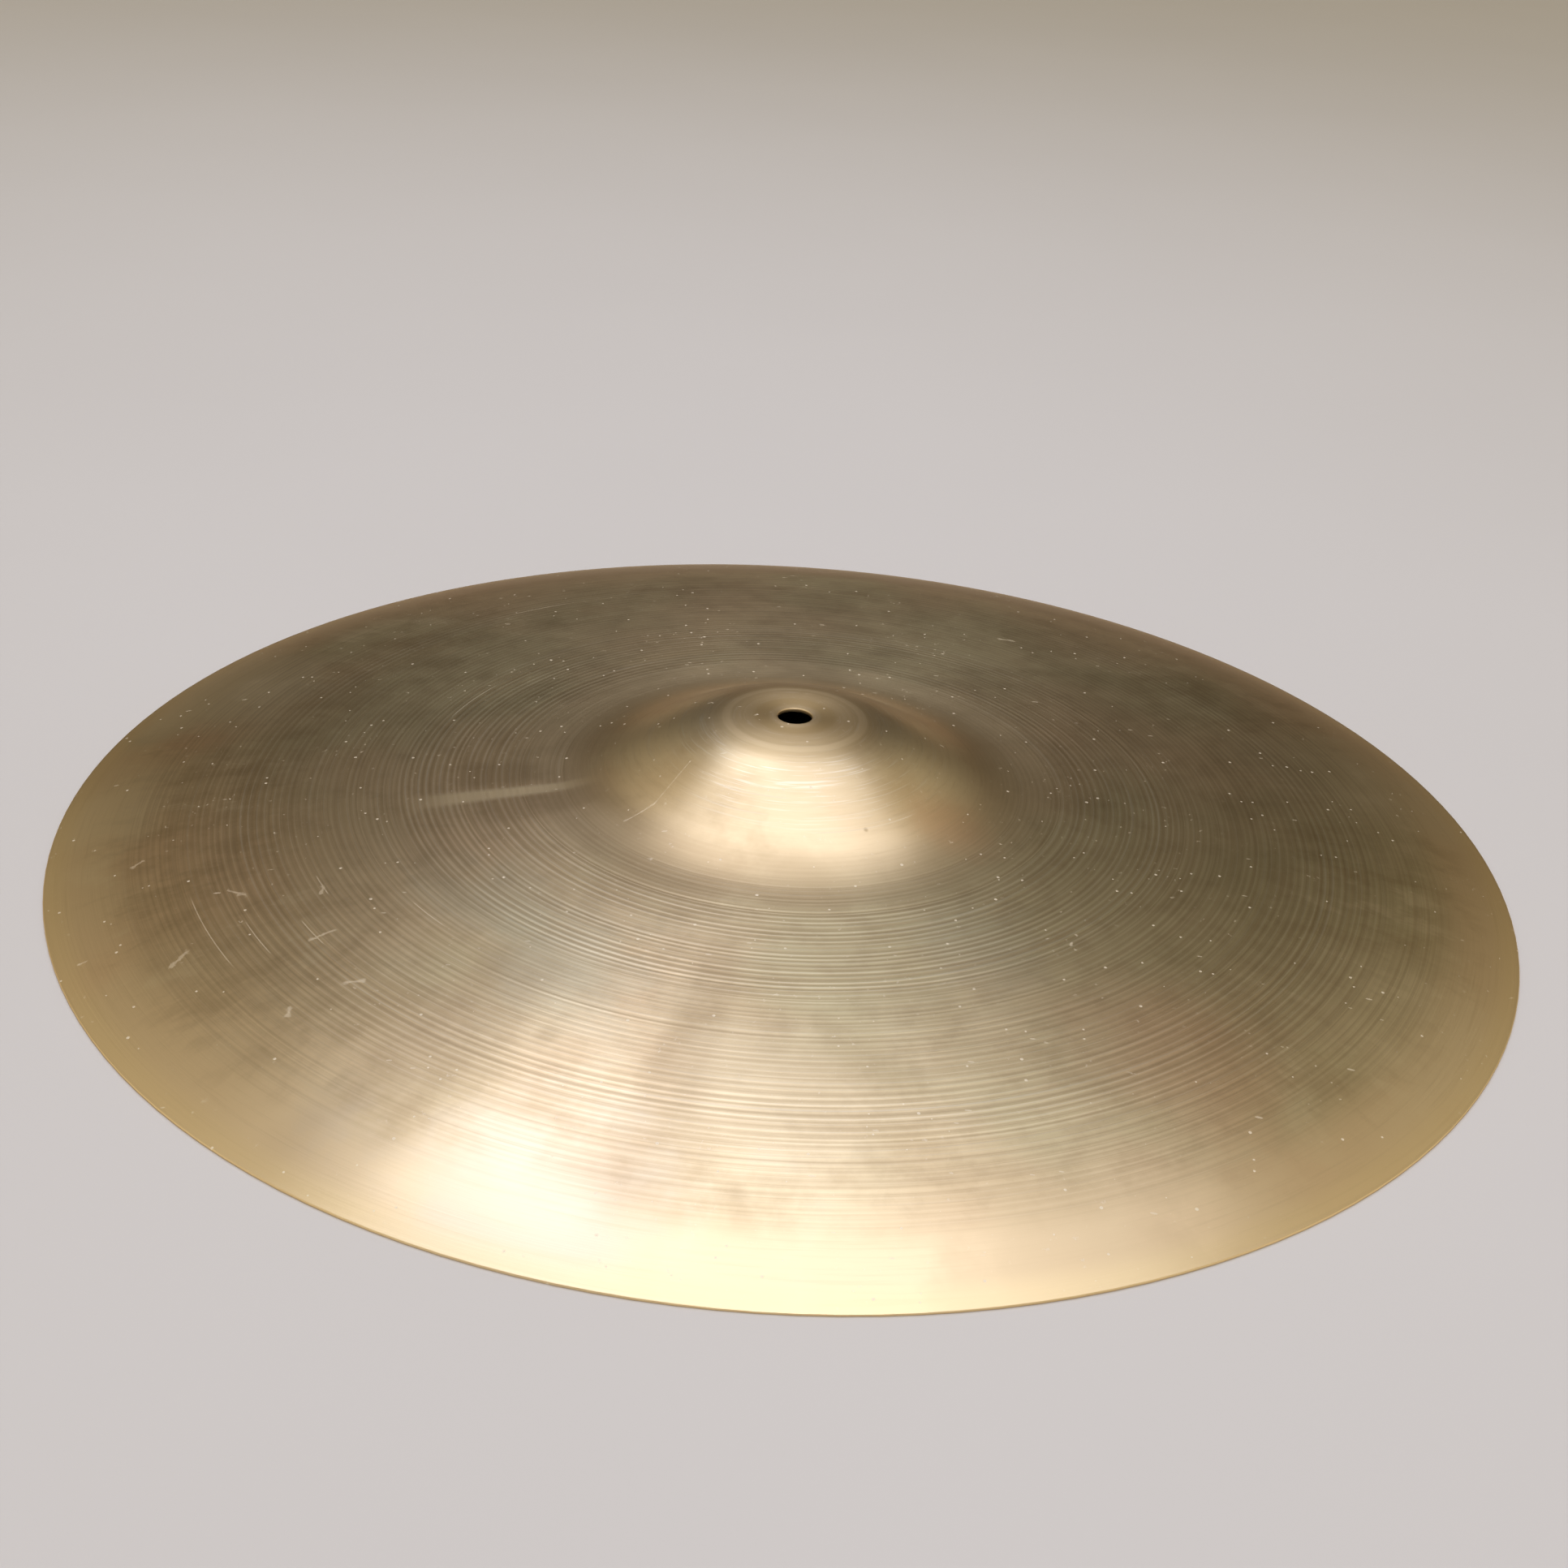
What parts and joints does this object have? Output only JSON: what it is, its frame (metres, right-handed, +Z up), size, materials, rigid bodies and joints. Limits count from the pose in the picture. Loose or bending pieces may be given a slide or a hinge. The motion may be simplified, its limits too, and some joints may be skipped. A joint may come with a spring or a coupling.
{
  "type": "crash cymbal",
  "caption": "Round lathed bronze crash cymbal with a raised bell, a shallow bow, a thin edge and a stand hole in its crown.",
  "frame": {"origin": "centre of the ring that the rim rests on, on the surface that it lies on", "axes": "+Z up along the axis of the cymbal, out of the top of the bell; X and Y are any two directions across it"},
  "size_m": [0.508, 0.508, 0.046],
  "materials": {
    "bronze": "lathed bronze with fine circular grooves and some patina"
  },
  "bodies": {
    "root": {"cymbal": "bronze"}
  },
  "joints": []
}
